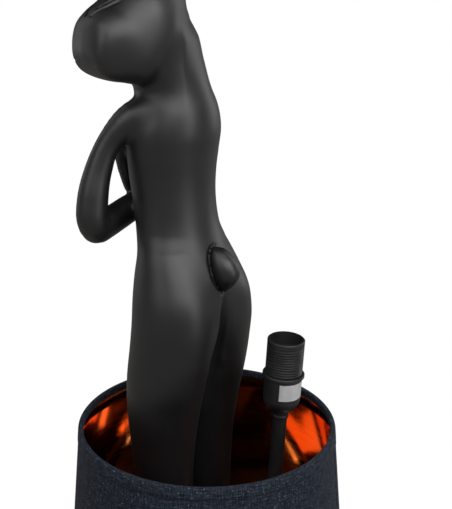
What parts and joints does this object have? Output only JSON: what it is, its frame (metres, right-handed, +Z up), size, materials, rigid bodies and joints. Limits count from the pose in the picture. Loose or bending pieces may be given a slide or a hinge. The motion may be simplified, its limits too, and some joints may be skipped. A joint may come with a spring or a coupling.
{
  "type": "hare table lamp",
  "caption": "Black standing hare table lamp: round base, small threaded lampholder on a leaning stem behind the figure, and a tapered fabric shade with copper lining that lifts off.",
  "frame": {"origin": "centre of the underside, on the table, on the shade's axis", "axes": "+Z up; the base's front is -Y, the stem and lampholder stand on +Y; the figure is turned 16 degrees towards -X and looks 57 degrees towards +X"},
  "size_m": [0.231, 0.231, 0.6116],
  "materials": {
    "felt": "pressed felt",
    "fibreboard": "raw",
    "base_black": "satin",
    "black_rubber": "matt",
    "resin_black": "satin lacquer",
    "brass": "bright",
    "zinc_steel": "zinc plated",
    "stem_black": "satin powder coat",
    "holder_black": "moulded",
    "holder_core": "moulded",
    "contact_bronze": "spring strip",
    "foil_label": "printed foil, blank",
    "lead_pvc": "flexible sheath",
    "core_pvc": "flexible insulation",
    "shade_fabric": "slubbed linen weave",
    "copper_film": "metallised film",
    "hem_fabric": "folded linen",
    "shade_wire": "white epoxy coated wire"
  },
  "bodies": {
    "lamp": {"base_felt": "felt", "base_cover": "fibreboard", "base_plate": "base_black", "cord_inlet_bush": "black_rubber", "hare_figure": "resin_black", "figure_inserts": "brass", "figure_washers": "zinc_steel", "figure_screws": "zinc_steel", "stem_tube": "stem_black", "stem_foot": "stem_black", "stem_nipple_lower": "zinc_steel", "stem_washer": "zinc_steel", "stem_nut": "zinc_steel", "stem_nipple_upper": "zinc_steel", "lampholder_cap": "holder_black", "holder_collar": "stem_black", "holder_nut": "zinc_steel", "lampholder_sleeve": "holder_black", "lampholder_core": "holder_core", "screw_shell": "brass", "terminal_blocks": "brass", "terminal_screws": "zinc_steel", "rating_label": "foil_label", "inner_lead": "lead_pvc", "lead_cores": "core_pvc"},
    "shade": {"shade_cover": "shade_fabric", "shade_lining": "copper_film", "shade_bottom_hem": "hem_fabric", "shade_top_hem": "hem_fabric", "shade_bottom_ring": "shade_wire", "shade_top_ring": "shade_wire", "fitter_ring": "shade_wire", "fitter_arms": "shade_wire"},
    "contact": {"centre_contact": "contact_bronze"}
  },
  "joints": [
    {"name": "shade_lift", "type": "slide", "parent": "lamp", "child": "shade", "axis": [0, 0, 1], "range_m": [0, 0.64]},
    {"name": "contact_press", "type": "slide", "parent": "lamp", "child": "contact", "axis": [0, -0.0541, -0.9985], "range_m": [0, 0.0015], "stiffness_N_per_m": 900}
  ]
}
